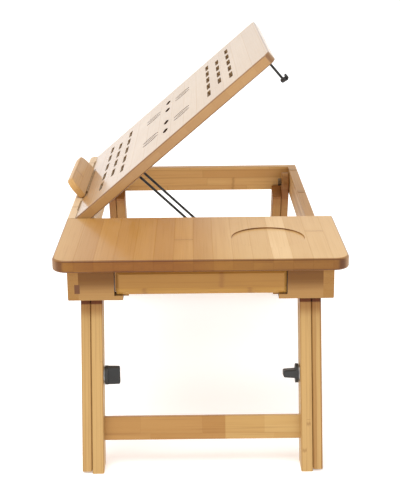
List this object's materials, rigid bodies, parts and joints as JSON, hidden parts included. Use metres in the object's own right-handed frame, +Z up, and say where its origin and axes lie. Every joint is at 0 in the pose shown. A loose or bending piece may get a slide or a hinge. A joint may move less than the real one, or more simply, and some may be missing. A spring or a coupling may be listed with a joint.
{
  "type": "laptop stand with drawer",
  "caption": "Folding bamboo bed table with a vented tilting board, book ledge, wire prop, side panel with cup recess and drawer, on splayed height-adjustable legs.",
  "frame": {"origin": "centre of the bounding box's underside: on the floor, midway between the feet of both leg frames, midway between the book ledge's leaning front and the top's rear edge", "axes": "+Z up; +X along the table towards the drawer end; +Y across it from the hinged front to the rear"},
  "size_m": [0.579, 0.3086, 0.4002],
  "materials": {
    "bamboo": "clear satin varnish over edge-laminated bamboo",
    "bamboo_top": "clear gloss varnish over flat-laminated bamboo",
    "bamboo_dark": "carbonised bamboo, end grain",
    "steel": "zinc-plated wire and sheet",
    "knob_black": "moulded matt black plastic",
    "pad_rubber": "soft matt pad"
  },
  "bodies": {
    "frame": {"fixed_panel": "bamboo_top", "front_strip": "bamboo", "front_batten": "bamboo", "front_rail": "bamboo", "rear_rail": "bamboo", "far_end_rail": "bamboo", "end_block_front": "bamboo", "end_block_rear": "bamboo", "frame_key": "bamboo_dark", "prop_beam": "bamboo", "notch_rack": "bamboo", "drawer_runner_front": "bamboo", "drawer_runner_rear": "bamboo", "drawer_housing_back": "bamboo", "rail_pads": "pad_rubber", "board_hinge_fixed_leaves": "steel", "board_hinge_pins": "steel", "leg_pivot_bolts": "steel", "leg_pivot_nuts": "steel"},
    "tilt_board": {"tilt_board": "bamboo_top", "board_hinge_moving_leaves": "steel", "bail_brackets": "steel", "hook_bush": "steel", "ledge_hinge_board_leaf": "steel", "ledge_hinge_pin": "steel"},
    "book_ledge": {"book_ledge": "bamboo", "ledge_hinge_leaf": "steel"},
    "prop_bail": {"prop_bail": "steel"},
    "latch_hook": {"latch_hook": "steel", "hook_cap": "pad_rubber"},
    "drawer": {"drawer_front": "bamboo", "drawer_side_front": "bamboo", "drawer_side_rear": "bamboo", "drawer_back": "bamboo", "drawer_floor": "bamboo"},
    "near_upper_leg": {"near_outer_slat_front": "bamboo", "near_outer_slat_rear": "bamboo", "near_knob_bolts": "steel", "near_knob_washers": "steel"},
    "near_lower_leg": {"near_inner_slat_front": "bamboo", "near_inner_slat_rear": "bamboo", "near_crossbar": "bamboo"},
    "near_front_knob": {"near_knob_front": "knob_black"},
    "near_rear_knob": {"near_knob_rear": "knob_black"},
    "far_upper_leg": {"far_outer_slat_front": "bamboo", "far_outer_slat_rear": "bamboo", "far_knob_bolts": "steel", "far_knob_washers": "steel"},
    "far_lower_leg": {"far_inner_slat_front": "bamboo", "far_inner_slat_rear": "bamboo", "far_crossbar": "bamboo"},
    "far_front_knob": {"far_knob_front": "knob_black"},
    "far_rear_knob": {"far_knob_rear": "knob_black"}
  },
  "joints": [
    {"name": "board_tilt", "type": "hinge", "parent": "frame", "child": "tilt_board", "pos_m": [-0.07505, -0.13552, 0.21216], "axis": [0.9998, 0, 0.0196], "range_deg": [-40.4, 0]},
    {"name": "bail_swing", "type": "hinge", "parent": "tilt_board", "child": "prop_bail", "pos_m": [0.00719, -0.07067, 0.25176], "axis": [-0.9998, 0, -0.0196], "range_deg": [-83.81, 0]},
    {"name": "ledge_fold", "type": "hinge", "parent": "tilt_board", "child": "book_ledge", "pos_m": [-0.07155, -0.13174, 0.21728], "axis": [0.9998, 0, 0.0196], "range_deg": [-90, 0]},
    {"name": "hook_turn", "type": "hinge", "parent": "tilt_board", "child": "latch_hook", "pos_m": [0.07456, 0.0831, 0.38634], "axis": [-0.0149, -0.6481, 0.7614], "range_deg": [-135, 45]},
    {"name": "drawer_slide", "type": "slide", "parent": "frame", "child": "drawer", "axis": [0.9998, 0, 0.0196], "range_m": [0, 0.118]},
    {"name": "near_leg_fold", "type": "hinge", "parent": "frame", "child": "near_upper_leg", "pos_m": [0.21603, 0.00433, 0.18936], "axis": [0, -1, 0], "range_deg": [-106.4, 0]},
    {"name": "near_leg_extend", "type": "slide", "parent": "near_upper_leg", "child": "near_lower_leg", "axis": [0.3011, 0, -0.9536], "range_m": [0, 0.07]},
    {"name": "near_front_knob_turn", "type": "hinge", "parent": "near_upper_leg", "child": "near_front_knob", "pos_m": [0.24689, -0.08897, 0.09162], "axis": [0, -1, 0], "continuous": true},
    {"name": "near_rear_knob_turn", "type": "hinge", "parent": "near_upper_leg", "child": "near_rear_knob", "pos_m": [0.24689, 0.09763, 0.09162], "axis": [0, 1, 0], "continuous": true},
    {"name": "far_leg_fold", "type": "hinge", "parent": "frame", "child": "far_upper_leg", "pos_m": [-0.19904, 0.00433, 0.18122], "axis": [0, 1, 0], "range_deg": [-113.96, 0]},
    {"name": "far_leg_extend", "type": "slide", "parent": "far_upper_leg", "child": "far_lower_leg", "axis": [-0.3881, 0, -0.9216], "range_m": [0, 0.07]},
    {"name": "far_front_knob_turn", "type": "hinge", "parent": "far_upper_leg", "child": "far_front_knob", "pos_m": [-0.23882, -0.08897, 0.08675], "axis": [0, -1, 0], "continuous": true},
    {"name": "far_rear_knob_turn", "type": "hinge", "parent": "far_upper_leg", "child": "far_rear_knob", "pos_m": [-0.23882, 0.09763, 0.08675], "axis": [0, 1, 0], "continuous": true}
  ],
  "couplings": [
    {"joint": "bail_swing", "follows": "board_tilt", "ratio": 2.0743}
  ]
}
